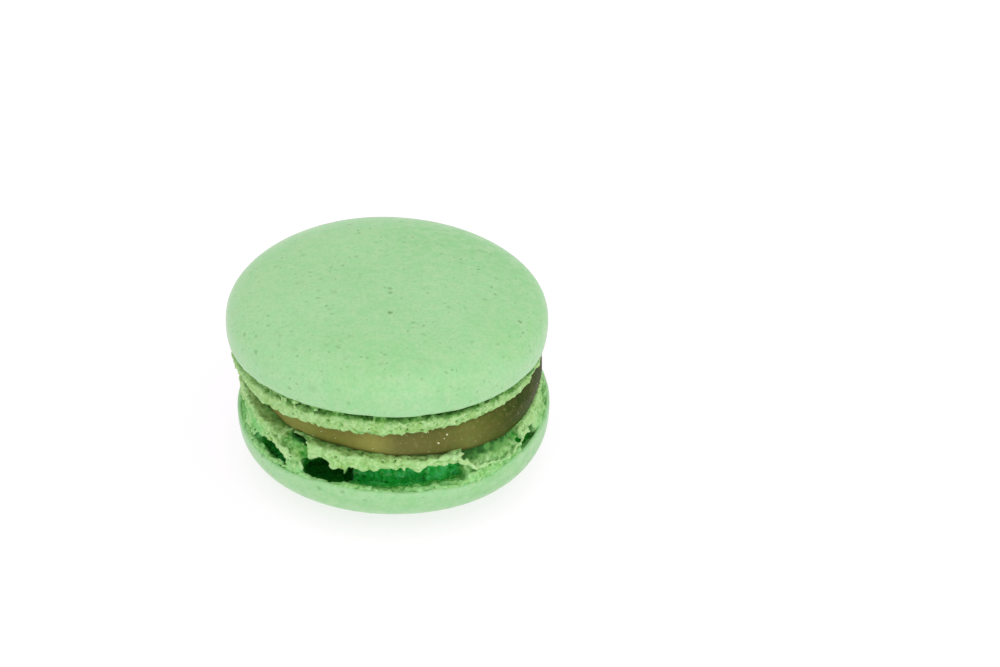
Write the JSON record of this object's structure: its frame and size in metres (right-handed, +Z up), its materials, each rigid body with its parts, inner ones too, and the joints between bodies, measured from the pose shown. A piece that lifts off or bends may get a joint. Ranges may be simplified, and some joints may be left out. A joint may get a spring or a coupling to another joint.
{
  "type": "macaron",
  "caption": "Round sandwich biscuit: smooth domed almond shells with ruffled, porous feet around a soft caramel filling, lying flat on its lower dome.",
  "frame": {"origin": "centre of the small flat spot under the lower dome that the biscuit rests on", "axes": "+Z is up, out of the upper dome; -Y is the front, the side with the widest torn hollows in the lower foot; +X is the right side"},
  "size_m": [0.0474, 0.0471, 0.0306],
  "materials": {
    "shell": "satin",
    "filling": "soft gloss"
  },
  "bodies": {
    "root": {"lower_shell": "shell", "filling": "filling", "upper_shell": "shell"}
  },
  "joints": []
}
